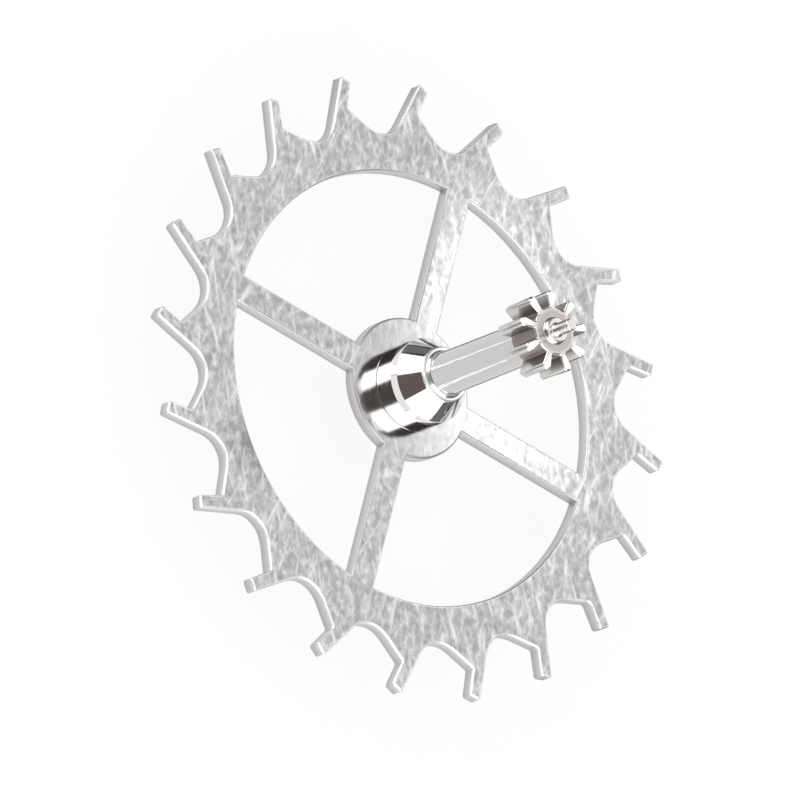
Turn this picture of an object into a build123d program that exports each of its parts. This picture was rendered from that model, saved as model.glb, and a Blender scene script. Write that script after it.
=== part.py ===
from build123d import *
import math
import os

# Escape wheel of a Swiss lever watch, staked with its collet on the escape pinion.
# Lengths are millimetres and angles are degrees, anticlockwise seen from the pinion end.
# The arbor stands on Z with its pinion at the top. Z = 0 is the lower bearing shoulder,
# the face that sets the arbor's height in the watch. The arms lie along X and Y.

# Teeth. Each is a finger that leans clockwise, with a sloped impulse face on its end.
tooth_count = 20
heel_radius = 2.5          # circle through the high corners, half the wheel's diameter
toe_drop = 0.051           # how much lower the other corner is, which the pallets catch
impulse_angle = 2.14       # angle at the arbor from heel corner to toe corner
finger_lean = 24.0         # the finger's front flank, measured from the heel's radius
finger_taper = 2.5         # the back flank leans this much more, so the foot is wider
toe_flank = 0.225          # length of the finger's free front flank
tooth_depth = 0.522        # heel down to where slope and back flank would meet
slope_hollow = 0.016       # how far the slope dips below a straight line
slope_bend_share = 0.092   # of each half of the slope, taken by the bend in its middle
root_fillet_share = 0.83   # of the slope's lower half, taken by the rounding at its foot
crook_fillet = 0.025       # rounding where the front flank meets the slope
tooth_phase = 13.8         # heel corner of the first tooth, from the first arm

# Plate.
plate_thickness = 0.105
rim_width = 0.24           # from the tooth roots to the windows
eye_radius = 0.565         # the ring around the hub that the arms run into
arm_count = 4
arm_width = 0.226
edge_break = 0.014         # polished edge all round the front of the plate
bore_radius = 0.25         # hole that takes the collet's spigot
rivet_sink_depth = 0.035   # countersink at the back of the hole, filled by the rivet
rivet_sink_width = 0.04

# Collet, a turned and polished bush between the plate and the arbor.
collet_radius = 0.346
collet_band_height = 0.18  # straight band that stands on the plate
collet_bevel_height = 0.068
collet_bevel_inset = 0.008 # how much the shallow bevel narrows above the band
collet_cone_height = 0.183
collet_top_land = 0.044    # flat ring left round the arbor on top of the cone
rivet_height = 0.022       # domed rivet left proud at the back
rivet_dome_inset = 0.05

# Arbor.
pivot_radius = 0.05
lower_pivot_length = 0.2
upper_pivot_length = 0.21  # from the leaves' front face
pivot_end_round = 0.015
shoulder_chamfer = 0.02
shaft_radius = 0.173       # upper part
seat_step = 0.023          # the lower part is thinner by this, and the step sits on the collet
plate_height = 0.26        # lower shoulder to the back of the plate
shaft_length = 1.06        # visible length from the collet to the leaves

# Pinion, cut in the arbor's own steel.
leaf_count = 9
leaf_root_radius = 0.192
leaf_flank_height = 0.09   # straight flank, up to the pitch circle
leaf_point_height = 0.047  # rounded point, above the pitch circle
leaf_thickness = 0.074     # at the pitch circle
leaf_length = 0.302
leaf_end_chamfer = 0.014
leaf_phase = -58.1         # first leaf, from the first arm
boss_radius = 0.108        # low shoulder on the front face, which bears against the jewel
boss_height = 0.036
boss_chamfer = 0.014

# Radii and heights that follow from the sizes above.
toe_radius = heel_radius - toe_drop
back_lean = finger_lean + finger_taper
root_radius = heel_radius - tooth_depth
rim_inner_radius = root_radius - rim_width
seat_radius = shaft_radius - seat_step
collet_top_radius = shaft_radius + collet_top_land
leaf_pitch_radius = leaf_root_radius + leaf_flank_height
leaf_tip_radius = leaf_pitch_radius + leaf_point_height
plate_front = plate_height + plate_thickness
band_top = plate_front + collet_band_height
bevel_top = band_top + collet_bevel_height
collet_top = bevel_top + collet_cone_height
leaf_bottom = collet_top + shaft_length
leaf_top = leaf_bottom + leaf_length
boss_top = leaf_top + boss_height
upper_pivot_top = leaf_top + upper_pivot_length


def polar(radius, angle):
    """Point at a radius and an angle about the arbor."""
    return (radius * math.cos(math.radians(angle)), radius * math.sin(math.radians(angle)))


def flank_point(start, heel_angle, lean, distance):
    """Point reached by going inwards from start along one flank of a finger."""
    step = polar(distance, heel_angle + 180 - lean)
    return (start[0] + step[0], start[1] + step[1])


def fillet_radius(before, corner, after, reach):
    """Radius of the fillet that starts this far from its corner on both lines."""
    inwards = math.atan2(corner[1] - before[1], corner[0] - before[0])
    outwards = math.atan2(after[1] - corner[1], after[0] - corner[0])
    turn = abs(math.remainder(outwards - inwards, math.tau))
    return reach / math.tan(turn / 2)


def flank_to_root():
    """Length of a back flank from the heel corner down to the root circle."""
    along = heel_radius * math.cos(math.radians(back_lean))
    across = heel_radius * math.sin(math.radians(back_lean))
    return along - math.sqrt(root_radius**2 - across**2)


def tooth_pitch(heel_angle):
    """Outline from one heel corner, clockwise, to the next tooth's heel corner."""
    next_angle = heel_angle - 360 / tooth_count
    heel = polar(heel_radius, heel_angle)
    toe = polar(toe_radius, heel_angle - impulse_angle)
    crook = flank_point(toe, heel_angle, finger_lean, toe_flank)
    next_heel = polar(heel_radius, next_angle)
    root = flank_point(next_heel, next_angle, back_lean, flank_to_root())
    run = math.dist(crook, root)
    outwards = (crook[1] - root[1], root[0] - crook[0])
    dip = slope_hollow / run
    middle = (
        (crook[0] + root[0]) / 2 - outwards[0] * dip,
        (crook[1] + root[1]) / 2 - outwards[1] * dip,
    )
    half_run = math.dist(middle, root)
    bend = fillet_radius(crook, middle, root, half_run * slope_bend_share)
    foot = fillet_radius(middle, root, next_heel, half_run * root_fillet_share)
    impulse_face = Line(heel, toe)
    flanks = FilletPolyline(
        toe, crook, middle, root, next_heel, radius=[crook_fillet, bend, foot]
    )
    return impulse_face.edges() + flanks.edges()


def windows():
    """The open sectors between the rim, the eye and the arms."""
    opening = Circle(rim_inner_radius) - Circle(eye_radius)
    arm = Pos(rim_inner_radius / 2, 0) * Rectangle(rim_inner_radius * 2, arm_width)
    for index in range(arm_count):
        opening -= Rot(0, 0, index * 360 / arm_count) * arm
    return opening


def escape_wheel():
    """Flat steel plate: rim, teeth, arms and eye, with a bore for the collet."""
    outline = []
    for index in range(tooth_count):
        outline += tooth_pitch(tooth_phase + index * 360 / tooth_count)
    blank = make_face(outline) - windows()
    plate = Pos(0, 0, plate_height) * extrude(blank, plate_thickness)
    front_edges = plate.faces().sort_by(Axis.Z)[-1].edges()
    plate = chamfer(front_edges, edge_break)
    bore = Pos(0, 0, plate_height) * extrude(Circle(bore_radius), plate_thickness)
    sink_mouth = bore_radius + rivet_sink_width
    sink = revolve(
        make_face(
            Polyline(
                (0, 0, plate_height),
                (sink_mouth, 0, plate_height),
                (bore_radius, 0, plate_height + rivet_sink_depth),
                (0, 0, plate_height + rivet_sink_depth),
                close=True,
            )
        ),
        Axis.Z,
    )
    return plate - bore - sink


def hub_collet():
    """Turned bush: rivet, spigot, band, shallow bevel, cone and a flat top."""
    rivet_back = plate_height - rivet_height
    sink_mouth = bore_radius + rivet_sink_width
    profile = Polyline(
        (seat_radius, 0, rivet_back),
        (sink_mouth - rivet_dome_inset, 0, rivet_back),
        (sink_mouth, 0, plate_height),
        (bore_radius, 0, plate_height + rivet_sink_depth),
        (bore_radius, 0, plate_front),
        (collet_radius, 0, plate_front),
        (collet_radius, 0, band_top),
        (collet_radius - collet_bevel_inset, 0, bevel_top),
        (collet_top_radius, 0, collet_top),
        (seat_radius, 0, collet_top),
        close=True,
    )
    return revolve(make_face(profile), Axis.Z)


def leaf_face():
    """One leaf: radial flanks up to the pitch circle and a rounded point."""
    half = leaf_thickness / 2
    half_root = half * leaf_root_radius / leaf_pitch_radius
    inner = shaft_radius / 2
    flanks = Polyline(
        (leaf_pitch_radius, -half),
        (leaf_root_radius, -half_root),
        (inner, -half_root),
        (inner, half_root),
        (leaf_root_radius, half_root),
        (leaf_pitch_radius, half),
    )
    point = ThreePointArc(
        (leaf_pitch_radius, half), (leaf_tip_radius, 0), (leaf_pitch_radius, -half)
    )
    return make_face(flanks.edges() + point.edges())


def pinion_leaves():
    """The toothed drum, with its leaf ends chamfered."""
    section = Circle(leaf_root_radius)
    for index in range(leaf_count):
        section += Rot(0, 0, leaf_phase + index * 360 / leaf_count) * leaf_face()
    drum = Pos(0, 0, leaf_bottom) * extrude(section, leaf_length)
    chamfered = leaf_tip_radius - leaf_end_chamfer
    envelope = revolve(
        make_face(
            Polyline(
                (0, 0, leaf_bottom),
                (chamfered, 0, leaf_bottom),
                (leaf_tip_radius, 0, leaf_bottom + leaf_end_chamfer),
                (leaf_tip_radius, 0, leaf_top - leaf_end_chamfer),
                (chamfered, 0, leaf_top),
                (0, 0, leaf_top),
                close=True,
            )
        ),
        Axis.Z,
    )
    return drum & envelope


def pinion_arbor():
    """Arbor turned in one piece with its pinion: pivots, seat, shaft, leaves and shoulder."""
    pivot_end = pivot_radius - pivot_end_round
    leaf_middle = leaf_bottom + leaf_length / 2
    profile = Polyline(
        (0, 0, -lower_pivot_length),
        (pivot_end, 0, -lower_pivot_length),
        (pivot_radius, 0, pivot_end_round - lower_pivot_length),
        (pivot_radius, 0, 0),
        (seat_radius - shoulder_chamfer, 0, 0),
        (seat_radius, 0, shoulder_chamfer),
        (seat_radius, 0, collet_top),
        (shaft_radius, 0, collet_top),
        (shaft_radius, 0, leaf_middle),
        (boss_radius, 0, leaf_middle),
        (boss_radius, 0, boss_top - boss_chamfer),
        (boss_radius - boss_chamfer, 0, boss_top),
        (pivot_radius, 0, boss_top),
        (pivot_radius, 0, upper_pivot_top - pivot_end_round),
        (pivot_end, 0, upper_pivot_top),
        (0, 0, upper_pivot_top),
        close=True,
    )
    return revolve(make_face(profile), Axis.Z) + pinion_leaves()


os.makedirs("parts", exist_ok=True)
export_step(escape_wheel(), "parts/escape_wheel.step")
export_step(hub_collet(), "parts/hub_collet.step")
export_step(pinion_arbor(), "parts/pinion_arbor.step")
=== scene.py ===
import math

import bpy
from mathutils import Matrix, Vector


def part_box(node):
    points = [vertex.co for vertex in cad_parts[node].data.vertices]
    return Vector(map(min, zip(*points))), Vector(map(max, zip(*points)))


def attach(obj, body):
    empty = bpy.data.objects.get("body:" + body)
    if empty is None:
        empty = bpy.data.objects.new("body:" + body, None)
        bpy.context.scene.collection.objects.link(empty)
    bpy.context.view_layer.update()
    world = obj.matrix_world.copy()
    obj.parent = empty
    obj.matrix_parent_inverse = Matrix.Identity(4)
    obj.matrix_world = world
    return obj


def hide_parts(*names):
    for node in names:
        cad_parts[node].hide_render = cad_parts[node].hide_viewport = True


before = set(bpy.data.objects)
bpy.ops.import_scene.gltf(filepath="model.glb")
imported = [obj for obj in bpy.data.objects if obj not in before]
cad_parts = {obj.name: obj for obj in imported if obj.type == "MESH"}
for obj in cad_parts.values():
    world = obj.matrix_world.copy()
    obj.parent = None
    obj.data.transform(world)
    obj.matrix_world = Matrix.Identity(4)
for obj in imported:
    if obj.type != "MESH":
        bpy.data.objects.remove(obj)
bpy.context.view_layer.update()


# Escape wheel plate.
# A flat disc of hardened steel with club teeth, four arms and an eye, lapped on
# its faces, with the front edge broken and polished. The collet is riveted in it.

mm = 0.001
heel_radius = 2.5 * mm         # circle through the teeth's high corners
toe_drop = 0.051 * mm          # how much lower the other corner of a tooth is
impulse_angle = 2.14           # angle at the arbor from heel corner to toe corner
finger_lean = 24.0             # the finger's front flank, measured from the heel's radius
finger_taper = 2.5             # the back flank leans this much more, so the foot is wider
toe_flank = 0.225 * mm         # length of the finger's free front flank
tooth_depth = 0.522 * mm       # heel down to where slope and back flank would meet
slope_hollow = 0.016 * mm      # how far the slope dips below a straight line
slope_bend_share = 0.092       # of half the slope, taken by the bend in its middle
root_fillet_share = 0.83       # of half the slope, taken by the rounding at its foot
crook_reach = 0.0175 * mm      # of the rounding where the front flank meets the slope
tip_reach = 0.02 * mm          # and of the polished rounding at the finger's two corners
tooth_count = 20
tooth_phase = 13.8             # heel corner of the first tooth, from the first arm
rim_width = 0.24 * mm          # from the tooth roots to the windows
eye_radius = 0.565 * mm        # the ring round the hub that the arms run into
arm_count = 4
arm_width = 0.226 * mm
bore_radius = 0.25 * mm        # hole that takes the collet's spigot
rivet_sink_depth = 0.035 * mm  # countersink at the back of the hole, filled by the rivet
rivet_sink_width = 0.04 * mm
polished_edge = 0.019 * mm     # radius of the polished rounding round the front
back_edge = 0.005 * mm         # the back's edges are only stoned
plate_crease = 30              # degrees. Faces that meet at more than this stay crisp

wheel_low, wheel_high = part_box("escape_wheel")
plate_back = wheel_low[2]
plate_front = wheel_high[2]
root_radius = heel_radius - tooth_depth
rim_inner_radius = root_radius - rim_width
rivet_mouth = bore_radius + rivet_sink_width
back_lean = finger_lean + finger_taper
pitch_angle = 360 / tooth_count


def polar(radius, degrees):
    """Point at a radius and an angle about the arbor."""
    turn = math.radians(degrees)
    return Vector((radius * math.cos(turn), radius * math.sin(turn)))


facet_turn = math.radians(7)   # about how much a rounding turns at each facet
lead_in = 0.02                 # straight piece at both ends of a rounding, of its reach


def rounded(points, reaches):
    """The line through the points, its inner corners rounded from this far on each side."""
    line = [points[0]]
    for before, corner, after, reach in zip(points, points[1:], points[2:], reaches):
        if reach == 0:
            line.append(corner)
            continue
        inwards = (corner - before).normalized()
        outwards = (after - corner).normalized()
        turn = math.atan2(inwards.x * outwards.y - inwards.y * outwards.x, inwards.dot(outwards))
        radius = reach / math.tan(turn / 2)
        start = corner - inwards * reach
        centre = start + Vector((-inwards.y, inwards.x)) * radius
        steps = max(3, round(abs(turn) / facet_turn))
        line.append(start - inwards * reach * lead_in)
        for step in range(steps + 1):
            line.append(centre + Matrix.Rotation(turn * step / steps, 2) @ (start - centre))
        line.append(corner + outwards * reach * (1 + lead_in))
    line.append(points[-1])
    return line


def tooth_line(heel_angle):
    """Edge of the plate from the middle of one impulse face, clockwise, to the next."""
    next_angle = heel_angle - pitch_angle
    heel = polar(heel_radius, heel_angle)
    toe = polar(heel_radius - toe_drop, heel_angle - impulse_angle)
    crook = toe + polar(toe_flank, heel_angle + 180 - finger_lean)
    next_heel = polar(heel_radius, next_angle)
    next_toe = polar(heel_radius - toe_drop, next_angle - impulse_angle)
    along = heel_radius * math.cos(math.radians(back_lean))
    across = heel_radius * math.sin(math.radians(back_lean))
    flank = along - math.sqrt(root_radius**2 - across**2)
    root = next_heel + polar(flank, next_angle + 180 - back_lean)
    run = root - crook
    inwards = Vector((run.y, -run.x)).normalized()
    middle = (crook + root) / 2 + inwards * slope_hollow
    half_run = (root - middle).length
    corners = [(heel + toe) / 2, toe, crook, middle, root, next_heel, (next_heel + next_toe) / 2]
    reaches = [0, crook_reach, half_run * slope_bend_share, half_run * root_fillet_share, 0]
    return rounded(corners, reaches)


def metal_side(line, closed):
    """For each point of a line with metal on its right, the step into the metal."""
    steps = []
    count = len(line)
    for index, point in enumerate(line):
        sides = []
        if closed or index:
            sides.append((point - line[(index - 1) % count]).normalized())
        if closed or index < count - 1:
            sides.append((line[(index + 1) % count] - point).normalized())
        total = sum((Vector((side.y, -side.x)) for side in sides), Vector((0, 0)))
        steps.append(total * 2 / total.length_squared if len(sides) == 2 else total)
    return steps


low_facets = 5                 # of the rounding along a wall's lower edge
high_facets = 7                # and along its upper one
low_margins = (1.6, 1.5)       # rows beside the rounding, on face and wall, in its radii
high_margins = (1.3, 1.15)


def edge_rows(low, low_edge, high, high_edge):
    """Inset and height of each row of a wall whose two edges are rounded."""
    on_face, on_wall = low_margins
    rows = [(low_edge * on_face, low)]
    for step in range(low_facets + 1):
        turn = math.pi / 2 * step / low_facets
        rows.append((low_edge * (1 - math.sin(turn)), low + low_edge * (1 - math.cos(turn))))
    rows.append((0, low + low_edge * on_wall))
    on_face, on_wall = high_margins
    rows.append((0, high - high_edge * on_wall))
    for step in range(high_facets + 1):
        turn = math.pi / 2 * step / high_facets
        inset = high_edge * (1 - math.cos(turn))
        rows.append((inset, high - high_edge * (1 - math.sin(turn))))
    rows.append((high_edge * on_face, high))
    return rows


def strip(name, columns, closed):
    """Mesh object of a strip of quads. Each column holds one point for every row."""
    points = [point for column in columns for point in column]
    height = len(columns[0])
    faces = []
    for index in range(len(columns) if closed else len(columns) - 1):
        near = index * height
        far = (index + 1) % len(columns) * height
        for row in range(height - 1):
            faces.append((near + row, near + row + 1, far + row + 1, far + row))
    mesh = bpy.data.meshes.new(name)
    mesh.from_pydata(points, [], faces)
    return bpy.data.objects.new(name, mesh)


corner_turn = math.radians(60)  # a line that turns more than this has a sharp corner


def corner_points(line, index, reach):
    """The point itself, or the rounding that takes its place at a sharp corner."""
    if reach == 0 or not 0 < index < len(line) - 1:
        return [line[index]]
    before, corner, after = line[index - 1 : index + 2]
    if (corner - before).angle(after - corner) < corner_turn:
        return [corner]
    return rounded([before, corner, after], [reach])[1:-1]


def wall_columns(line, closed, rows, reach=0, first=0, last=None):
    """Columns of a wall that stands on a line with metal on its right."""
    widest = max(inset for inset, height in rows)
    steps = metal_side(line, closed)
    columns = []
    for index in range(len(line))[first:last]:
        inner = line[index] + steps[index] * widest
        for point in corner_points(line, index, reach):
            step = (inner - point) / widest
            moved = [(point + step * inset, height) for inset, height in rows]
            columns.append([(place.x, place.y, height) for place, height in moved])
    return columns


def pitch_columns(line_at, angle, pitch, rows, reach=0):
    """Wall columns of one pitch of a repeated line, with even corners at both ends."""
    before = line_at(angle + pitch)
    line = line_at(angle)
    whole = before[:-1] + line[:-1] + line_at(angle - pitch)
    start = len(before) - 1
    return wall_columns(whole, False, rows, reach, start, start + len(line))


rim_facets = 96                # along a window's outer arc
eye_facets = 36                # and along its inner one


def window_line():
    """Edge of the opening between two arms, the eye and the rim, anticlockwise."""
    half_arm = arm_width / 2
    inner = math.degrees(math.asin(half_arm / eye_radius))
    outer = math.degrees(math.asin(half_arm / rim_inner_radius))
    line = []
    for step in range(rim_facets + 1):
        line.append(polar(rim_inner_radius, outer + (90 - 2 * outer) * step / rim_facets))
    for step in range(eye_facets + 1):
        line.append(polar(eye_radius, 90 - inner - (90 - 2 * inner) * step / eye_facets))
    return line


bore_facets = 128


def bore_circle(radius, height):
    """Points round a circle about the arbor, anticlockwise."""
    return [(*polar(radius, 360 * step / bore_facets), height) for step in range(bore_facets)]


def node_tree(name, sockets):
    """Empty geometry tree with a named input for each of the sockets."""
    tree = bpy.data.node_groups.new(name, "GeometryNodeTree")
    tree.interface.new_socket("Geometry", in_out="OUTPUT", socket_type="NodeSocketGeometry")
    for label, kind in sockets:
        tree.interface.new_socket(label, in_out="INPUT", socket_type=kind)
    return tree, tree.nodes.new("NodeGroupInput"), tree.nodes.new("NodeGroupOutput")


def add(tree, kind, inputs=None, **settings):
    """New node with its settings. Inputs are values, or sockets to join to it."""
    node = tree.nodes.new(kind)
    for key, value in settings.items():
        setattr(node, key, value)
    for key, value in (inputs or {}).items():
        if isinstance(value, bpy.types.NodeSocket):
            tree.links.new(value, node.inputs[key])
        else:
            node.inputs[key].default_value = value
    return node


def sum_up(tree, operation, first, second):
    """Output of one sum on two values or sockets."""
    return add(tree, "ShaderNodeMath", {0: first, 1: second}, operation=operation).outputs[0]


def shape_of(tree, given, label):
    """Geometry of the object that a tree's input names."""
    return add(tree, "GeometryNodeObjectInfo", {"Object": given.outputs[label]}).outputs["Geometry"]


def repeated_round(tree, given, shape, count):
    """The shape repeated round the arbor as often as count says."""
    points = add(tree, "GeometryNodePoints", {"Count": given.outputs[count]})
    index = add(tree, "GeometryNodeInputIndex")
    step = sum_up(tree, "DIVIDE", math.tau, given.outputs[count])
    turn = sum_up(tree, "MULTIPLY", index.outputs[0], step)
    spin = add(tree, "ShaderNodeCombineXYZ", {"Z": turn})
    copies = add(
        tree,
        "GeometryNodeInstanceOnPoints",
        {
            "Points": points.outputs[0],
            "Instance": shape_of(tree, given, shape),
            "Rotation": spin.outputs[0],
        },
    )
    return copies.outputs[0]


merge_reach = 0.0002 * mm      # points nearer to each other than this become one
level_slack = 0.0005 * mm      # points nearer to a height than this count as being on it


def merged(tree, parts):
    """Joins the parts into one mesh and merges the points they share."""
    joined = add(tree, "GeometryNodeJoinGeometry")
    for part in parts:
        tree.links.new(part, joined.inputs[0])
    realised = add(tree, "GeometryNodeRealizeInstances", {"Geometry": joined.outputs[0]})
    return add(
        tree,
        "GeometryNodeMergeByDistance",
        {"Geometry": realised.outputs[0], "Distance": merge_reach},
    ).outputs[0]


def flat_face(tree, walls, height, faces_down):
    """Flat face that closes the open edges of the walls at this height."""
    neighbours = add(tree, "GeometryNodeInputMeshEdgeNeighbors")
    open_edge = add(
        tree,
        "FunctionNodeCompare",
        {2: neighbours.outputs[0], 3: 1},
        data_type="INT",
        operation="EQUAL",
    )
    position = add(tree, "GeometryNodeInputPosition")
    split = add(tree, "ShaderNodeSeparateXYZ", {0: position.outputs[0]})
    above = sum_up(tree, "SUBTRACT", split.outputs[2], height)
    level = add(
        tree,
        "FunctionNodeCompare",
        {0: sum_up(tree, "ABSOLUTE", above, 0.0), 1: level_slack},
        data_type="FLOAT",
        operation="LESS_THAN",
    )
    wanted = add(
        tree,
        "FunctionNodeBooleanMath",
        {0: open_edge.outputs[0], 1: level.outputs[0]},
        operation="AND",
    )
    loops = add(tree, "GeometryNodeMeshToCurve", {"Mesh": walls, "Selection": wanted.outputs[0]})
    filled = add(tree, "GeometryNodeFillCurve", {"Curve": loops.outputs[0]})
    lift = add(tree, "ShaderNodeCombineXYZ", {"Z": height})
    placed = add(
        tree,
        "GeometryNodeTransform",
        {"Geometry": filled.outputs[0], "Translation": lift.outputs[0]},
    )
    if faces_down:
        placed = add(tree, "GeometryNodeFlipFaces", {"Mesh": placed.outputs[0]})
    return placed.outputs[0]


def finished(tree, given, result, shape, crease):
    """Ends a tree: smooth faces that break where they meet at more than crease, and steel."""
    smooth = add(tree, "GeometryNodeSetShadeSmooth", {"Geometry": shape, "Shade Smooth": True})
    angle = add(tree, "GeometryNodeInputMeshEdgeAngle")
    sharp = add(
        tree,
        "FunctionNodeCompare",
        {0: angle.outputs[0], 1: math.radians(crease)},
        data_type="FLOAT",
        operation="GREATER_THAN",
    )
    crisp = add(
        tree,
        "GeometryNodeSetShadeSmooth",
        {"Geometry": smooth.outputs[0], "Selection": sharp.outputs[0], "Shade Smooth": False},
        domain="EDGE",
    )
    realised = add(tree, "GeometryNodeRealizeInstances", {"Geometry": crisp.outputs[0]})
    coated = add(
        tree,
        "GeometryNodeSetMaterial",
        {"Geometry": realised.outputs[0], "Material": given.outputs["Steel"]},
    )
    tree.links.new(coated.outputs[0], result.inputs[0])


def grown(name, tree, values, node):
    """Plain mesh made by the tree, put in the place of its node."""
    mesh = bpy.data.meshes.new(name)
    piece = bpy.data.objects.new(name, mesh)
    bpy.context.scene.collection.objects.link(piece)
    modifier = piece.modifiers.new("shape", "NODES")
    modifier.node_group = tree
    for item in tree.interface.items_tree:
        if item.item_type == "SOCKET" and item.in_out == "INPUT":
            modifier[item.identifier] = values[item.name]
    depsgraph = bpy.context.evaluated_depsgraph_get()
    shape = bpy.data.meshes.new_from_object(piece.evaluated_get(depsgraph))
    piece.modifiers.remove(modifier)
    piece.data = shape
    for helper in values.values():
        if isinstance(helper, bpy.types.Object):
            bpy.data.objects.remove(helper)
    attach(piece, "root")
    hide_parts(node)


def steel(name, colour, roughness):
    """New steel material and its shader node."""
    material = bpy.data.materials.new(name)
    material.use_nodes = True
    shader = material.node_tree.nodes["Principled BSDF"]
    shader.inputs["Metallic"].default_value = 1.0
    shader.inputs["Base Color"].default_value = (*colour, 1)
    shader.inputs["Roughness"].default_value = roughness
    return material, shader


def ramp(tree, value, low, high, to_low=0.0, to_high=1.0):
    """Value carried from one range to another, and held at its ends."""
    return add(
        tree,
        "ShaderNodeMapRange",
        {"Value": value, "From Min": low, "From Max": high, "To Min": to_low, "To Max": to_high},
    ).outputs[0]


def tint(tree, share, first, second):
    """Colour between two others, given as colours or sockets."""
    node = add(tree, "ShaderNodeMix", {"Factor": share}, data_type="RGBA")
    for index, colour in ((6, first), (7, second)):
        if isinstance(colour, bpy.types.NodeSocket):
            tree.links.new(colour, node.inputs[index])
        else:
            node.inputs[index].default_value = (*colour, 1)
    return node.outputs[2]


def between(tree, share, first, second):
    """Number between two others, given as numbers or sockets."""
    inputs = {"Factor": share, 2: first, 3: second}
    return add(tree, "ShaderNodeMix", inputs, data_type="FLOAT").outputs[0]


def round_the_arbor(tree):
    """Each point's place, its distance from the arbor's axis, and its height."""
    place = add(tree, "ShaderNodeTexCoord").outputs["Object"]
    parts = add(tree, "ShaderNodeSeparateXYZ", {0: place})
    level = add(tree, "ShaderNodeCombineXYZ", {"X": parts.outputs[0], "Y": parts.outputs[1]})
    radius = add(tree, "ShaderNodeVectorMath", {0: level.outputs[0]}, operation="LENGTH")
    return place, radius.outputs["Value"], parts.outputs[2]


def facing_up(tree, low, high):
    """One where the surface lies flat, and nothing where its upright share is under low."""
    facing = add(tree, "ShaderNodeNewGeometry").outputs["Normal"]
    upright = add(tree, "ShaderNodeSeparateXYZ", {0: facing}).outputs[2]
    return ramp(tree, sum_up(tree, "ABSOLUTE", upright, 0.0), low, high)


lap_direction = 15.8           # most scratches run this way, from the first arm
scratch_layers = (             # turn from it, length, width, noise at edge and middle, seed
    (-4, 0.34 * mm, 0.06 * mm, 0.58, 0.88, 3.0),
    (19, 0.4 * mm, 0.055 * mm, 0.6, 0.9, 14.3),
    (-24, 0.36 * mm, 0.055 * mm, 0.6, 0.9, 25.6),
    (9, 1.1 * mm, 0.062 * mm, 0.64, 0.82, 36.9),
    (-31, 1.0 * mm, 0.058 * mm, 0.66, 0.84, 48.2),
)
grain_layers = (               # turn, length, width and seed of the lap's fine marks
    (-6, 0.12 * mm, 0.058 * mm, 61.0),
    (38, 0.085 * mm, 0.054 * mm, 68.9),
    (-45, 0.085 * mm, 0.054 * mm, 76.8),
)
cloud_layer = (40, 0.4 * mm, 0.3 * mm, 23.0)   # the same, of soft plain patches
cloud_range = (0.3, 0.7)       # noise that counts as no cloud and as a full one
grain_middle = 0.5 * len(grain_layers)
grain_spread = 0.42            # from the middle to where the grain is all dark or light
grain_power = 1.6              # gives the dark marks more room than the light ones
worn_radius = 0.44 * mm        # up to here the eye is worn smoother
marked_radius = 0.75 * mm      # and from here on the lap's marks are at their fullest
worn_marks = 0.35              # share of the marks that is left on the eye
seed_way = (1.0, 1.7, 0.6)     # a seed moves its noise along this line
lapped_tone = (0.5, 0.5, 0.5)  # the steel's plain look, without its marks
lapped_roughness = 0.3
grain_dark = (0.29, 0.292, 0.298)
grain_light = (0.67, 0.67, 0.67)
cloud_tone = (0.5, 0.5, 0.505)
cloud_share = 0.2
scratch_tone = (0.78, 0.777, 0.775)
# Painted shade on the walls, darker at the back edge and lighter towards the front.
wall_back_shaded_tone = (0.47, 0.46, 0.45)
wall_front_lit_tone = (0.68, 0.667, 0.655)
# Painted shade on the rounded edges round the windows, painted highlight on those of the teeth.
window_edge_shaded_tone = (0.4, 0.397, 0.393)
tooth_edge_highlight_tone = (0.8, 0.79, 0.78)
edge_shade_end = rim_inner_radius * 0.94   # from here to the tooth roots the painted shade on the window edges turns into the painted highlight on the teeth
flat_facing = (0.97, 0.995)    # upright share of the normal where a face begins
round_facing = (0.05, 0.3)     # and where a rounding does
face_roughness = (0.13, 0.26)  # beside the scratches and in them
wall_roughness = 0.5
scratch_depth = 0.0006 * mm
scratch_strength = 0.3


def drawn_noise(tree, place, turn, length, width, seed, detail):
    """Noise drawn out along one direction of the face."""
    mapped = add(
        tree,
        "ShaderNodeMapping",
        {"Vector": place, "Rotation": (0, 0, math.radians(lap_direction + turn))},
        vector_type="TEXTURE",
    )
    drawn = add(
        tree,
        "ShaderNodeVectorMath",
        {0: mapped.outputs[0], 1: (1 / length, 1 / width, 1 / width)},
        operation="MULTIPLY",
    )
    moved = add(
        tree,
        "ShaderNodeVectorMath",
        {0: drawn.outputs[0], 1: [seed * part for part in seed_way]},
        operation="ADD",
    )
    return add(
        tree,
        "ShaderNodeTexNoise",
        {"Vector": moved.outputs[0], "Scale": 1.0, "Detail": detail, "Roughness": 0.6},
    ).outputs[0]


def lap_marks(tree, place, radius):
    """Scratches and fine grain that the lap has left, both fainter on the eye."""
    left = ramp(tree, radius, worn_radius, marked_radius, worn_marks, 1.0)
    scratches = 0.0
    for turn, length, width, faint, full, seed in scratch_layers:
        layer = drawn_noise(tree, place, turn, length, width, seed, detail=1.0)
        scratches = sum_up(tree, "MAXIMUM", ramp(tree, layer, faint, full), scratches)
    scratches = sum_up(tree, "MULTIPLY", scratches, left)
    grain = 0.0
    for turn, length, width, seed in grain_layers:
        layer = drawn_noise(tree, place, turn, length, width, seed, detail=2.0)
        grain = sum_up(tree, "ADD", grain, layer)
    darkest, lightest = grain_middle - grain_spread, grain_middle + grain_spread
    grain = ramp(tree, grain, darkest, lightest, -0.5, 0.5)
    grain = sum_up(tree, "ADD", sum_up(tree, "MULTIPLY", grain, left), 0.5)
    return scratches, sum_up(tree, "POWER", grain, grain_power)


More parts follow.
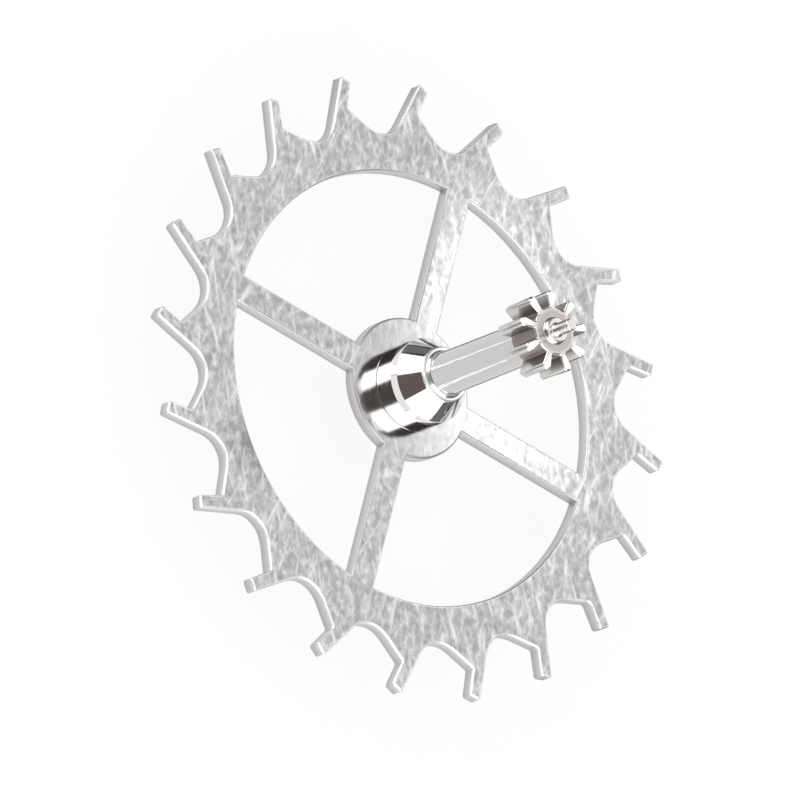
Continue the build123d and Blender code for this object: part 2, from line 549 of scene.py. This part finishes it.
def lapped_plate_steel():
    """Steel lapped on its faces, with painted shade on its walls that deepens towards the back, and
    polished roundings that carry a painted highlight on the teeth and painted shade round the
    windows.
    """
    material, shader = steel("lapped_steel", lapped_tone, lapped_roughness)
    tree = material.node_tree
    place, radius, height = round_the_arbor(tree)
    scratches, grain = lap_marks(tree, place, radius)
    clouds = ramp(tree, drawn_noise(tree, place, *cloud_layer, detail=2.0), *cloud_range)
    ground = tint(tree, grain, grain_dark, grain_light)
    ground = tint(tree, sum_up(tree, "MULTIPLY", clouds, cloud_share), ground, cloud_tone)
    face = tint(tree, scratches, ground, scratch_tone)
    # Painted shade: the walls get darker from the front edge down to the back.
    wall_lit_share = ramp(tree, height, plate_back, plate_front - polished_edge)
    wall = tint(tree, wall_lit_share, wall_back_shaded_tone, wall_front_lit_tone)
    # Painted highlight on the rounded edges of the teeth, painted shade on those round the windows.
    outwards = ramp(tree, radius, edge_shade_end, root_radius)
    edge = tint(tree, outwards, window_edge_shaded_tone, tooth_edge_highlight_tone)
    side = tint(tree, facing_up(tree, *round_facing), wall, edge)
    on_face = facing_up(tree, *flat_facing)
    tree.links.new(tint(tree, on_face, side, face), shader.inputs["Base Color"])
    face_rough = ramp(tree, scratches, 0.0, 1.0, *face_roughness)
    rough = between(tree, on_face, wall_roughness, face_rough)
    tree.links.new(rough, shader.inputs["Roughness"])
    bump = add(
        tree,
        "ShaderNodeBump",
        {
            "Strength": sum_up(tree, "MULTIPLY", on_face, scratch_strength),
            "Distance": scratch_depth,
            "Height": sum_up(tree, "SUBTRACT", grain, scratches),
        },
    )
    tree.links.new(bump.outputs[0], shader.inputs["Normal"])
    return material


plate_rows = edge_rows(plate_back, back_edge, plate_front, polished_edge)
tooth_columns = pitch_columns(tooth_line, tooth_phase, pitch_angle, plate_rows, tip_reach)
bore_columns = zip(
    bore_circle(rivet_mouth, plate_back),
    bore_circle(bore_radius, plate_back + rivet_sink_depth),
    bore_circle(bore_radius, plate_front),
)
plate_tree, given, result = node_tree(
    "toothed_plate",
    [
        ("Tooth pitch", "NodeSocketObject"),
        ("Teeth", "NodeSocketInt"),
        ("Window", "NodeSocketObject"),
        ("Arms", "NodeSocketInt"),
        ("Bore", "NodeSocketObject"),
        ("Front", "NodeSocketFloat"),
        ("Back", "NodeSocketFloat"),
        ("Steel", "NodeSocketMaterial"),
    ],
)
walls = merged(
    plate_tree,
    [
        repeated_round(plate_tree, given, "Tooth pitch", "Teeth"),
        repeated_round(plate_tree, given, "Window", "Arms"),
        shape_of(plate_tree, given, "Bore"),
    ],
)
front = flat_face(plate_tree, walls, given.outputs["Front"], False)
back = flat_face(plate_tree, walls, given.outputs["Back"], True)
plate_shape = merged(plate_tree, [walls, front, back])
finished(plate_tree, given, result, plate_shape, plate_crease)
grown(
    "wheel_plate",
    plate_tree,
    {
        "Tooth pitch": strip("tooth_pitch", tooth_columns, False),
        "Teeth": tooth_count,
        "Window": strip("window", wall_columns(window_line(), True, plate_rows), True),
        "Arms": arm_count,
        "Bore": strip("bore", list(bore_columns), True),
        "Front": plate_front,
        "Back": plate_back,
        "Steel": lapped_plate_steel(),
    },
    "escape_wheel",
)


# Collet.
# A bush turned from bar and polished. Its spigot goes through the plate's bore and
# is riveted over behind; the arbor is pressed in its hole.

collet_radius = 0.346 * mm
collet_band_height = 0.18 * mm     # straight band that stands on the plate
collet_bevel_height = 0.068 * mm
collet_bevel_inset = 0.008 * mm    # how much the shallow bevel narrows above the band
collet_top_land = 0.044 * mm       # flat ring left round the arbor on top of the cone
rivet_dome_inset = 0.05 * mm
shaft_radius = 0.173 * mm          # the arbor above the collet
seat_radius = 0.15 * mm            # and in its hole
turned_edge = 0.006 * mm           # what polishing leaves of a turned corner
band_foot = 0.011 * mm             # and of the band's edge on the plate
land_edge = 0.02 * mm              # the land is polished over into the cone
collet_crease = 28
collet_low, collet_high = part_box("hub_collet")
rivet_back, collet_top = collet_low[2], collet_high[2]
band_top = plate_front + collet_band_height
bevel_top = band_top + collet_bevel_height

turned_facets = 256


def turned(name, corners, reaches, closed):
    """Surface turned from a line that goes up outside the metal, or round it if closed."""
    line = rounded([Vector(corner) for corner in corners], reaches)
    if closed:
        line = line[:-1] + [line[0]]
    columns = []
    for step in range(turned_facets):
        turn = -360 * step / turned_facets
        columns.append([(*polar(point.x, turn), point.y) for point in line])
    return strip(name, columns, True)


ring_scale = 60 / mm               # lathe rings to the metre
smear_scale = 6 / mm               # and the patches where they are fainter
ring_depth = 0.0002 * mm
ring_strength = 0.25
ring_noise = (0.1, 0.5)            # noise where the steel is brightest and dullest
ring_roughness = (0.6, 1.7)        # its roughness there, in shares of the steel's own


def polished_steel(name, colour, roughness):
    """Bright turned steel, its shader, and its roughness with the lathe's faint rings."""
    material, shader = steel(name, colour, roughness)
    tree = material.node_tree
    place, radius, height = round_the_arbor(tree)
    ring_place = add(tree, "ShaderNodeCombineXYZ", {"X": radius, "Y": height})
    rings = add(
        tree,
        "ShaderNodeTexNoise",
        {"Vector": ring_place.outputs[0], "Scale": ring_scale, "Detail": 3.0},
        noise_dimensions="2D",
    ).outputs[0]
    smears = add(
        tree,
        "ShaderNodeTexNoise",
        {"Vector": place, "Scale": smear_scale, "Detail": 3.0},
    ).outputs[0]
    marks = sum_up(tree, "MULTIPLY", rings, smears)
    brightest, dullest = (roughness * share for share in ring_roughness)
    sheen = ramp(tree, marks, *ring_noise, brightest, dullest)
    bump = add(
        tree,
        "ShaderNodeBump",
        {"Strength": ring_strength, "Distance": ring_depth, "Height": rings},
    )
    tree.links.new(bump.outputs[0], shader.inputs["Normal"])
    return material, shader, sheen


bright_tone = (0.82, 0.81, 0.8)
polish = 0.06                      # roughness of well polished steel
stoned_roughness = 0.25            # added on the land, which is only stoned


def collet_steel():
    """Polished steel with a stoned land on top."""
    material, shader, sheen = polished_steel("bright_steel", bright_tone, polish)
    tree = material.node_tree
    height = round_the_arbor(tree)[2]
    land_low, land_high = collet_top - land_edge, collet_top - land_edge / 2
    stoned = ramp(tree, height, land_low, land_high, 0.0, stoned_roughness)
    tree.links.new(sum_up(tree, "ADD", sheen, stoned), shader.inputs["Roughness"])
    return material


collet_middle = (seat_radius, (rivet_back + collet_top) / 2)
collet_shell = turned(
    "collet_shell",
    [
        collet_middle,
        (seat_radius, rivet_back),
        (rivet_mouth - rivet_dome_inset, rivet_back),
        (rivet_mouth, plate_back),
        (bore_radius, plate_back + rivet_sink_depth),
        (bore_radius, plate_front),
        (collet_radius, plate_front),
        (collet_radius, band_top),
        (collet_radius - collet_bevel_inset, bevel_top),
        (shaft_radius + collet_top_land, collet_top),
        (seat_radius, collet_top),
        collet_middle,
    ],
    [0, turned_edge, 0, 0, 0, band_foot, turned_edge / 2, turned_edge, land_edge, 0],
    True,
)
collet_tree, given, result = node_tree(
    "turned_bush", [("Shell", "NodeSocketObject"), ("Steel", "NodeSocketMaterial")]
)
shell = merged(collet_tree, [shape_of(collet_tree, given, "Shell")])
finished(collet_tree, given, result, shell, collet_crease)
grown(
    "collet",
    collet_tree,
    {"Shell": collet_shell, "Steel": collet_steel()},
    "hub_collet",
)


# Arbor with its pinion.
# One bar of hardened steel: the leaves are cut and polished, the shaft and both
# pivots turned and burnished, and a low shoulder stands round the upper pivot.

pivot_radius = 0.05 * mm
pivot_end_round = 0.015 * mm
shoulder_chamfer = 0.02 * mm
leaf_count = 9
leaf_pitch = 360 / leaf_count
leaf_root_radius = 0.192 * mm
leaf_pitch_radius = 0.282 * mm
leaf_tip_radius = 0.329 * mm
leaf_thickness = 0.074 * mm        # at the pitch circle
leaf_length = 0.302 * mm
leaf_end_chamfer = 0.014 * mm
leaf_phase = -58.1                 # first leaf, from the first arm
leaf_edge = 0.015 * mm             # polished rounding along the leaf ends
leaf_root_reach = 0.011 * mm       # of the rounding where a leaf's flank meets the root
leaf_point_facets = 22
upper_pivot_length = 0.21 * mm     # from the leaves' front face
boss_radius = 0.108 * mm           # low shoulder on the leaves' front face
boss_height = 0.036 * mm
boss_round = 0.026 * mm            # the shoulder is polished over into the pivot
pivot_root = 0.016 * mm
foot_flare = 0.022 * mm            # the shaft widens a little where it stands on the collet
foot_height = 0.03 * mm
arbor_crease = 32
arbor_low, arbor_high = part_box("pinion_arbor")
leaf_top = arbor_high[2] - upper_pivot_length
leaf_bottom = leaf_top - leaf_length
boss_top = leaf_top + boss_height


def leaf_line(angle):
    """Edge of the pinion across one leaf, clockwise from root middle to root middle."""
    half = leaf_thickness / 2
    half_root = half * leaf_root_radius / leaf_pitch_radius
    root_reach = math.sqrt(leaf_root_radius**2 - half_root**2)
    rise = leaf_tip_radius - leaf_pitch_radius
    curve = (half**2 + rise**2) / (2 * rise)
    sweep = math.degrees(math.atan2(half, leaf_pitch_radius - leaf_tip_radius + curve))
    middle = Vector((leaf_tip_radius - curve, 0))
    point = []
    for step in range(leaf_point_facets + 1):
        point.append(middle + polar(curve, sweep - 2 * sweep * step / leaf_point_facets))
    near = Vector((root_reach, half_root))
    far = Vector((root_reach, -half_root))
    corners = [polar(leaf_root_radius, leaf_pitch / 2), near, *point, far]
    corners.append(polar(leaf_root_radius, -leaf_pitch / 2))
    reaches = [leaf_root_reach] + [0] * len(point) + [leaf_root_reach]
    spin = Matrix.Rotation(math.radians(angle), 2)
    return [spin @ place for place in rounded(corners, reaches)]


def leaf_columns():
    """Wall of one leaf pitch, its ends rounded and chamfered towards the tip."""
    rows = edge_rows(leaf_bottom, turned_edge / 2, leaf_top, leaf_edge)
    columns = []
    for column in pitch_columns(leaf_line, leaf_phase, leaf_pitch, rows):
        chamfered = []
        for x, y, height in column:
            depth = min(height - leaf_bottom, leaf_top - height)
            limit = leaf_tip_radius - leaf_end_chamfer + depth
            scale = min(1, limit / math.hypot(x, y))
            chamfered.append((x * scale, y * scale, height))
        columns.append(chamfered)
    return columns


shaft_tone = (0.62, 0.61, 0.6)
gap_shade_tone = (0.32, 0.285, 0.27)     # painted shade between the leaves, deepest towards the roots
# Painted shade on the leaf ends near the middle, turning into a painted highlight towards the tips.
end_root_shade_tone = (0.43, 0.4, 0.385)
end_tip_highlight_tone = (0.9, 0.89, 0.88)   # painted highlight on the leaf ends, brightest towards their tips
wall_facing = (0.3, 0.7)           # upright share of the normal where a wall ends
end_tone_start = leaf_root_radius * 0.8
end_tone_stop = leaf_root_radius * 1.3
boss_margin = boss_radius * 1.1    # from here out the leaf ends carry their painted highlight and shade
end_low = leaf_top - leaf_edge * 1.2
gap_floor = 0.03 * mm              # the painted shade in the gaps is deepest up to this far out from the roots
gap_roughness = 0.4
foot_roughness = 0.22              # added at the shaft's foot
foot_low = collet_top + foot_height * 0.8
foot_high = collet_top + foot_height * 1.4
front_roughness = 0.2              # and towards the pinion's front


def pinion_steel():
    """Polished steel, rougher between the leaves, with painted shade there and a painted highlight
    on the leaf ends towards their tips.
    """
    material, shader, sheen = polished_steel("arbor_steel", shaft_tone, polish)
    tree = material.node_tree
    _, radius, height = round_the_arbor(tree)
    on_wall = ramp(tree, facing_up(tree, *wall_facing), 0.0, 1.0, 1.0, 0.0)
    past_shaft = ramp(tree, radius, shaft_radius + turned_edge, leaf_root_radius)
    up_to_leaf = ramp(tree, height, leaf_bottom - leaf_edge, leaf_bottom)
    on_leaf = sum_up(tree, "MULTIPLY", past_shaft, up_to_leaf)
    # Painted shade in the gaps between the leaves, deepest at the roots; the gaps are also rougher.
    deep = ramp(tree, radius, leaf_root_radius + gap_floor, leaf_pitch_radius, 1.0, 0.0)
    in_gap = sum_up(tree, "MULTIPLY", sum_up(tree, "MULTIPLY", on_leaf, deep), on_wall)
    tone = tint(tree, in_gap, shaft_tone, gap_shade_tone)
    # Painted highlight on the leaf ends towards their tips, painted shade nearer the middle.
    end_highlight_share = ramp(tree, radius, end_tone_start, end_tone_stop)
    painted_end_tone = tint(tree, end_highlight_share, end_root_shade_tone, end_tip_highlight_tone)
    on_front = ramp(tree, height, end_low, leaf_top - leaf_edge)
    past_boss = ramp(tree, radius, boss_radius, boss_margin)
    on_end = sum_up(tree, "MULTIPLY", on_front, past_boss)
    tree.links.new(tint(tree, on_end, tone, painted_end_tone), shader.inputs["Base Color"])
    at_foot = ramp(tree, height, foot_low, foot_high, foot_roughness, 0.0)
    at_front = ramp(tree, height, leaf_bottom, boss_top, 0.0, front_roughness)
    soft = sum_up(tree, "ADD", sheen, sum_up(tree, "ADD", at_foot, at_front))
    tree.links.new(between(tree, in_gap, soft, gap_roughness), shader.inputs["Roughness"])
    return material


lower_turning = turned(
    "lower_turning",
    [
        (0, arbor_low[2]),
        (pivot_radius, arbor_low[2]),
        (pivot_radius, 0),
        (seat_radius - shoulder_chamfer, 0),
        (seat_radius, shoulder_chamfer),
        (seat_radius, collet_top),
        (shaft_radius + foot_flare, collet_top),
        (shaft_radius, collet_top + foot_height),
        (shaft_radius, leaf_bottom - turned_edge),
        (shaft_radius + turned_edge, leaf_bottom),
    ],
    [
        pivot_end_round,
        turned_edge,
        turned_edge / 2,
        turned_edge / 2,
        0,
        turned_edge / 3,
        foot_height / 2,
        turned_edge / 3,
    ],
    False,
)
upper_turning = turned(
    "upper_turning",
    [
        (boss_radius + turned_edge * 2, leaf_top),
        (boss_radius, leaf_top),
        (boss_radius, boss_top),
        (pivot_radius, boss_top),
        (pivot_radius, arbor_high[2]),
        (0, arbor_high[2]),
    ],
    [turned_edge, boss_round, pivot_root, pivot_end_round],
    False,
)
arbor_tree, given, result = node_tree(
    "arbor_and_pinion",
    [
        ("Leaf pitch", "NodeSocketObject"),
        ("Leaves", "NodeSocketInt"),
        ("Lower turning", "NodeSocketObject"),
        ("Upper turning", "NodeSocketObject"),
        ("Front", "NodeSocketFloat"),
        ("Back", "NodeSocketFloat"),
        ("Steel", "NodeSocketMaterial"),
    ],
)
walls = merged(
    arbor_tree,
    [
        repeated_round(arbor_tree, given, "Leaf pitch", "Leaves"),
        shape_of(arbor_tree, given, "Lower turning"),
        shape_of(arbor_tree, given, "Upper turning"),
    ],
)
front = flat_face(arbor_tree, walls, given.outputs["Front"], False)
back = flat_face(arbor_tree, walls, given.outputs["Back"], True)
arbor_shape = merged(arbor_tree, [walls, front, back])
finished(arbor_tree, given, result, arbor_shape, arbor_crease)
grown(
    "arbor",
    arbor_tree,
    {
        "Leaf pitch": strip("leaf_pitch", leaf_columns(), False),
        "Leaves": leaf_count,
        "Lower turning": lower_turning,
        "Upper turning": upper_turning,
        "Front": leaf_top,
        "Back": leaf_bottom,
        "Steel": pinion_steel(),
    },
    "pinion_arbor",
)


# Studio.
# A white floor under the lower pivot, and round it the soft lamps and dark cards
# that give polished steel its light and dark bands.

floor_height = arbor_low[2]
floor_reach = 60 * mm
floor_tone = (0.85, 0.85, 0.85)
floor_glow = 0.88                  # share of plain white in what camera and steel see of it
flags = ((16.0, 32.0), (256.0, 28.0))   # black cards on it: middle azimuth, half width
flag_begin = (2.8 * mm, 3.4 * mm)  # distance from the arbor where the cards begin
floor_end = (5.5 * mm, 8 * mm)     # and where a dark surround does
flag_light = 0.05
side_softness = 2.5                # degrees over which a panel's or a card's side fades

panels = (                         # middle azimuth, half width, lowest, highest sine, strength
    (69.9, 24.0, -0.05, 0.87, 3.2),
    (191.9, 36.0, -0.05, 0.87, 3.2),
    (313.9, 32.0, -0.05, 0.98, 1.14),
    (123.9, 32.0, -1.0, 0.87, 0.08),
    (0.0, 400.0, 0.4, 0.66, 0.55),
    (0.0, 400.0, 0.9, 2.0, 1.2),
)
end_softness = 0.03                # sine over which a panel's upper or lower end fades
dark = 0.06                        # what the black cards between the panels send back
dark_tone = (1, 0.78, 0.76)        # with a warm tone
dark_range = (0.1, 0.6)            # light where that tone is full, and where it is gone

card_middle = (3.25 * mm, -3.6 * mm)
card_height = plate_front + 4.5 * mm
card_half = (0.77 * mm, 1.36 * mm)
card_turn = 115.8
card_reach = 3 * mm
card_tone = (1, 0.98, 0.94)
card_strength = 1.45
card_fade = 5.0                    # the higher, the harder the edge of the card's light


def sheet(name, corners):
    """Flat sheet between four corners."""
    mesh = bpy.data.meshes.new(name)
    mesh.from_pydata(corners, [], [(0, 1, 2, 3)])
    piece = bpy.data.objects.new(name, mesh)
    bpy.context.scene.collection.objects.link(piece)
    return piece


def sector(tree, direction, middle, half_width):
    """One in a sector round the arbor, given by azimuths, and nothing beside it."""
    turned_to = add(
        tree,
        "ShaderNodeVectorRotate",
        {"Vector": direction, "Angle": -math.radians(middle)},
        rotation_type="Z_AXIS",
    )
    split = add(tree, "ShaderNodeSeparateXYZ", {0: turned_to.outputs[0]})
    azimuth = sum_up(tree, "ARCTAN2", split.outputs[1], split.outputs[0])
    away = sum_up(tree, "ABSOLUTE", azimuth, 0.0)
    edge = math.radians(half_width)
    soft = math.radians(side_softness)
    return ramp(tree, away, edge - soft, edge + soft, 1.0, 0.0)


def white_paper():
    """Matt paper, plain white to the camera, with black cards that only steel shows."""
    material = bpy.data.materials.new("white_paper")
    material.use_nodes = True
    tree = material.node_tree
    shader = tree.nodes["Principled BSDF"]
    shader.inputs["Base Color"].default_value = (*floor_tone, 1)
    shader.inputs["Roughness"].default_value = 0.9
    shader.inputs["Specular IOR Level"].default_value = 0.0
    paths = add(tree, "ShaderNodeLightPath").outputs
    seen = sum_up(tree, "MAXIMUM", paths["Is Glossy Ray"], paths["Is Transmission Ray"])
    seen = sum_up(tree, "MAXIMUM", paths["Is Camera Ray"], seen)
    place, from_arbor, _ = round_the_arbor(tree)
    flagged = ramp(tree, from_arbor, *floor_end)
    for middle, half_width in flags:
        beside = sector(tree, place, middle, half_width)
        flag = sum_up(tree, "MULTIPLY", beside, ramp(tree, from_arbor, *flag_begin))
        flagged = sum_up(tree, "MAXIMUM", flagged, flag)
    flagged = ramp(tree, flagged, 0.0, 1.0, 1.0, flag_light)
    glow = between(tree, paths["Is Glossy Ray"], 1.0, flagged)
    white = add(tree, "ShaderNodeEmission", {"Color": (1, 1, 1, 1), "Strength": glow})
    share = sum_up(tree, "MULTIPLY", seen, floor_glow)
    inputs = {0: share, 1: shader.outputs[0], 2: white.outputs[0]}
    blend = add(tree, "ShaderNodeMixShader", inputs)
    tree.links.new(blend.outputs[0], tree.nodes["Material Output"].inputs["Surface"])
    return material


def soft_step(tree, value, low, high):
    """Rises from nothing to one between low and high."""
    return add(
        tree,
        "ShaderNodeMapRange",
        {"Value": value, "From Min": low, "From Max": high},
        interpolation_type="SMOOTHSTEP",
    ).outputs[0]


def panel_light(tree):
    """Light that steel mirrors from each direction: the panels, and dark cards between."""
    direction = add(tree, "ShaderNodeTexCoord").outputs["Generated"]
    rise = add(tree, "ShaderNodeSeparateXYZ", {0: direction}).outputs[2]
    fall = sum_up(tree, "MULTIPLY", rise, -1.0)
    light = dark
    for middle, half_width, low, high, strength in panels:
        bottom = soft_step(tree, rise, low - end_softness, low + end_softness)
        top = soft_step(tree, fall, -high - end_softness, -high + end_softness)
        upright = sum_up(tree, "MULTIPLY", bottom, top)
        beside = sector(tree, direction, middle, half_width)
        panel = sum_up(tree, "MULTIPLY", beside, upright)
        light = sum_up(tree, "ADD", light, sum_up(tree, "MULTIPLY", panel, strength))
    return light


def silk():
    """Oval light that fades out softly, in a sheet that is clear otherwise."""
    material = bpy.data.materials.new("silk")
    material.use_nodes = True
    tree = material.node_tree
    tree.nodes.remove(tree.nodes["Principled BSDF"])
    around = add(
        tree,
        "ShaderNodeMapping",
        {
            "Vector": add(tree, "ShaderNodeTexCoord").outputs["Object"],
            "Location": (*card_middle, card_height),
            "Rotation": (0, 0, math.radians(card_turn)),
            "Scale": (*card_half, 1),
        },
        vector_type="TEXTURE",
    )
    outwards = add(tree, "ShaderNodeVectorMath", {0: around.outputs[0]}, operation="LENGTH")
    fade = sum_up(tree, "POWER", outwards.outputs["Value"], card_fade)
    share = sum_up(tree, "POWER", math.e, sum_up(tree, "MULTIPLY", fade, -1.0))
    strength = sum_up(tree, "MULTIPLY", share, card_strength)
    lit = add(tree, "ShaderNodeEmission", {"Color": (*card_tone, 1), "Strength": strength})
    clear = add(tree, "ShaderNodeBsdfTransparent")
    both = add(tree, "ShaderNodeAddShader", {0: lit.outputs[0], 1: clear.outputs[0]})
    tree.links.new(both.outputs[0], tree.nodes["Material Output"].inputs["Surface"])
    return material


floor_corners = ((-1, -1), (1, -1), (1, 1), (-1, 1))
floor = sheet("floor", [(x * floor_reach, y * floor_reach, floor_height) for x, y in floor_corners])
floor.data.materials.append(white_paper())

world = bpy.data.worlds.new("studio")
bpy.context.scene.world = world
world.use_nodes = True
studio = world.node_tree
background = studio.nodes["Background"]
paths = add(studio, "ShaderNodeLightPath").outputs
level = between(studio, paths["Is Diffuse Ray"], panel_light(studio), 1.0)
level = between(studio, paths["Is Camera Ray"], level, 1.0)
warmth = tint(studio, ramp(studio, level, *dark_range), dark_tone, (1, 1, 1))
studio.links.new(warmth, background.inputs["Color"])
studio.links.new(level, background.inputs["Strength"])

card_corners = ((-1, -1), (-1, 1), (1, 1), (1, -1))
card = sheet(
    "card",
    [
        (card_middle[0] + x * card_reach, card_middle[1] + y * card_reach, card_height)
        for x, y in card_corners
    ],
)
card.data.materials.append(silk())
card.visible_camera = False
card.visible_diffuse = False
card.visible_shadow = False

view_azimuth = math.radians(133.9)  # the camera looks from here, without perspective
view_height = math.radians(48.1)
camera_roll = math.radians(68.335)
camera_distance = 100 * mm
pixel = 0.0077388 * mm             # one pixel of the photograph, in the plane of the wheel
picture_pixels = 800
hub_right, hub_up = 11.1, 12.0     # the hub on the plate, in pixels from the picture's middle
towards = Vector((
    math.cos(view_azimuth) * math.cos(view_height),
    math.sin(view_azimuth) * math.cos(view_height),
    math.sin(view_height),
))
level_side = Vector((-math.sin(view_azimuth), math.cos(view_azimuth), 0))
steep = towards.cross(level_side)
right = level_side * math.cos(camera_roll) + steep * math.sin(camera_roll)
up = towards.cross(right)
centre = Vector((0, 0, plate_front)) - right * hub_right * pixel - up * hub_up * pixel
camera_data = bpy.data.cameras.new("camera")
camera_data.type = "ORTHO"
camera_data.ortho_scale = picture_pixels * pixel
camera_data.clip_start = camera_distance / 100
camera_data.clip_end = camera_distance * 10
camera = bpy.data.objects.new("camera", camera_data)
bpy.context.scene.collection.objects.link(camera)
turn = Matrix((right, up, towards)).transposed().to_4x4()
camera.matrix_world = Matrix.Translation(centre + towards * camera_distance) @ turn
bpy.context.scene.camera = camera
bpy.context.scene.view_settings.view_transform = "Standard"
